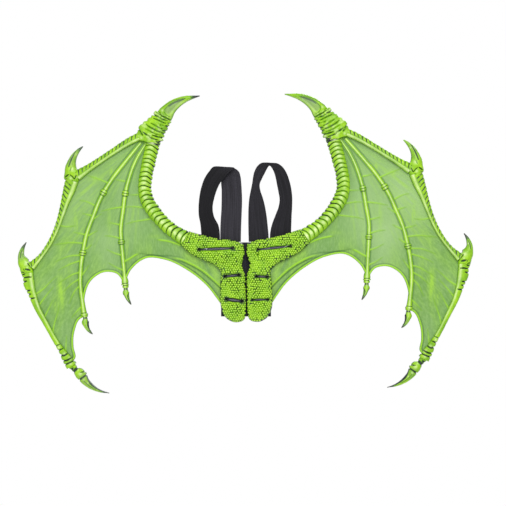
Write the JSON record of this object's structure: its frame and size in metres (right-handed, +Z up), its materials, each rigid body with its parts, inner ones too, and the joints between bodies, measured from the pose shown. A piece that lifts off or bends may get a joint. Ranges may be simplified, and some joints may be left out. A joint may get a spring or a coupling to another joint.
{
  "type": "dragon wings",
  "caption": "Pair of moulded foam dragon wings on a folding back panel, worn by two elastic arm loops.",
  "frame": {"origin": "middle of the rear face of the centre fold strip, where it lies against the wearer's spine", "axes": "+X to the right as seen from the decorated side, +Z up, the decorated side faces -Y"},
  "size_m": [0.8467, 0.0214, 0.56],
  "materials": {
    "painted_foam": "satin, airbrushed lime over dark green",
    "painted_scales": "satin, raised scales with dark gaps",
    "painted_claw": "satin, dark at the tips",
    "painted_membrane": "matte, brushed pale green",
    "back_fabric": "woven, matte",
    "strap_elastic": "woven elastic webbing",
    "stitching": "polyester thread",
    "armature_wire": "drawn"
  },
  "bodies": {
    "spine": {"centre_fold_strip": "back_fabric"},
    "right_wing": {"right_scale_plate": "painted_scales", "right_arm": "painted_foam", "right_wrist_wrap": "painted_foam", "right_thumb_claw": "painted_claw", "right_first_finger_inner": "painted_foam", "right_upper_horn": "painted_claw", "right_first_finger_middle": "painted_foam", "right_lower_horn": "painted_claw", "right_first_finger_outer": "painted_foam", "right_tip_claw": "painted_claw", "right_second_finger": "painted_foam", "right_second_finger_claw": "painted_claw", "right_third_finger": "painted_foam", "right_third_finger_claw": "painted_claw", "right_membrane": "painted_membrane", "right_armature_wire": "armature_wire", "right_strap_tails": "strap_elastic", "right_back_panel": "back_fabric", "right_panel_stitching": "stitching"},
    "right_strap": {"right_strap_loop": "strap_elastic"},
    "left_wing": {"left_scale_plate": "painted_scales", "left_arm": "painted_foam", "left_wrist_wrap": "painted_foam", "left_thumb_claw": "painted_claw", "left_first_finger_inner": "painted_foam", "left_upper_horn": "painted_claw", "left_first_finger_middle": "painted_foam", "left_lower_horn": "painted_claw", "left_first_finger_outer": "painted_foam", "left_tip_claw": "painted_claw", "left_second_finger": "painted_foam", "left_second_finger_claw": "painted_claw", "left_third_finger": "painted_foam", "left_third_finger_claw": "painted_claw", "left_membrane": "painted_membrane", "left_armature_wire": "armature_wire", "left_strap_tails": "strap_elastic", "left_back_panel": "back_fabric", "left_panel_stitching": "stitching"},
    "left_strap": {"left_strap_loop": "strap_elastic"}
  },
  "joints": [
    {"name": "right_wing_fold", "type": "hinge", "parent": "spine", "child": "right_wing", "pos_m": [0.004, -0.00075, 0], "axis": [0, 0, 1], "range_deg": [0, 70]},
    {"name": "left_wing_fold", "type": "hinge", "parent": "spine", "child": "left_wing", "pos_m": [-0.004, -0.00075, 0], "axis": [0, 0, -1], "range_deg": [0, 70]},
    {"name": "right_strap_swing", "type": "hinge", "parent": "right_wing", "child": "right_strap", "pos_m": [0.044, 0.0009, 0.0705], "axis": [-1, 0, 0], "range_deg": [0, 180]},
    {"name": "left_strap_swing", "type": "hinge", "parent": "left_wing", "child": "left_strap", "pos_m": [-0.046, 0.0009, 0.0705], "axis": [-1, 0, 0], "range_deg": [0, 180]}
  ]
}
